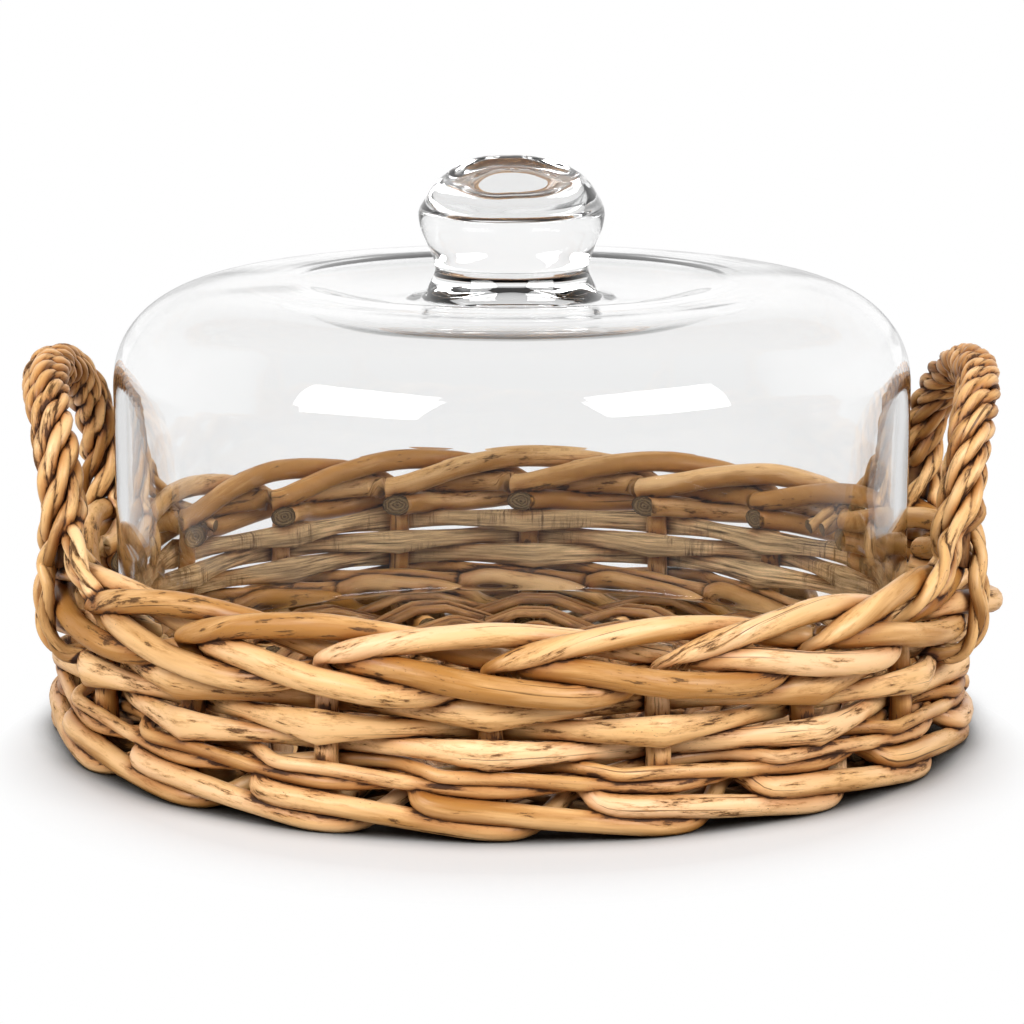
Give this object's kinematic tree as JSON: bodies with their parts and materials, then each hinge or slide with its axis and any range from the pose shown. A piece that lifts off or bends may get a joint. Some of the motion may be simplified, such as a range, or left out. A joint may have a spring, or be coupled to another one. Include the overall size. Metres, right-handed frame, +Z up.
{
  "type": "lidded basket",
  "caption": "Round willow tray basket with a plaited rod border and two rope-twisted side handles, covered by a lift-off blown-glass cloche with a waisted knob.",
  "frame": {"origin": "on the ground under the middle of the woven base", "axes": "+Z up, +X towards the right handle, -Y towards the viewer of the picture"},
  "size_m": [0.3528, 0.3472, 0.2058],
  "materials": {
    "willow": "whole willow rods, satin, honey brown with darker butts",
    "pale_willow": "whole willow rods, satin, pale honey",
    "split_willow": "split willow, matt inner faces, grey brown",
    "clear_glass": "clear hand-blown glass, polished, with small bubbles in the knob"
  },
  "bodies": {
    "basket": {"base_stick_01": "willow", "base_stick_02": "willow", "base_stick_03": "willow", "base_stick_04": "willow", "base_stick_05": "willow", "base_stick_06": "willow", "base_stick_07": "willow", "base_stick_08": "willow", "base_stick_09": "willow", "base_strip_01": "split_willow", "base_strip_02": "split_willow", "base_strip_03": "split_willow", "base_strip_04": "split_willow", "base_strip_05": "split_willow", "base_strip_06": "split_willow", "base_strip_07": "split_willow", "base_fine_rod_01": "willow", "base_fine_rod_02": "willow", "base_fine_rod_03": "willow", "stake_01": "willow", "stake_02": "willow", "stake_03": "willow", "stake_04": "willow", "stake_05": "willow", "stake_06": "willow", "stake_07": "willow", "stake_08": "willow", "stake_09": "willow", "stake_10": "willow", "stake_11": "willow", "stake_12": "willow", "stake_13": "willow", "stake_14": "willow", "stake_15": "willow", "stake_16": "willow", "stake_17": "willow", "stake_18": "willow", "foot_wale_01": "pale_willow", "foot_wale_02": "pale_willow", "foot_wale_03": "pale_willow", "upper_wale_01": "pale_willow", "upper_wale_02": "pale_willow", "upper_wale_03": "pale_willow", "split_row_01": "split_willow", "split_row_02": "split_willow", "split_row_03": "split_willow", "right_handle_strand_01": "pale_willow", "right_handle_strand_02": "pale_willow", "right_handle_strand_03": "pale_willow", "right_handle_strand_04": "pale_willow", "right_handle_strand_05": "pale_willow", "right_handle_core": "willow", "left_handle_strand_01": "pale_willow", "left_handle_strand_02": "pale_willow", "left_handle_strand_03": "pale_willow", "left_handle_strand_04": "pale_willow", "left_handle_strand_05": "pale_willow", "left_handle_core": "willow"},
    "cloche": {"glass_cloche": "clear_glass"}
  },
  "joints": [
    {"name": "lid_lift", "type": "slide", "parent": "basket", "child": "cloche", "axis": [0, 0, 1], "range_m": [0, 0.14]}
  ]
}
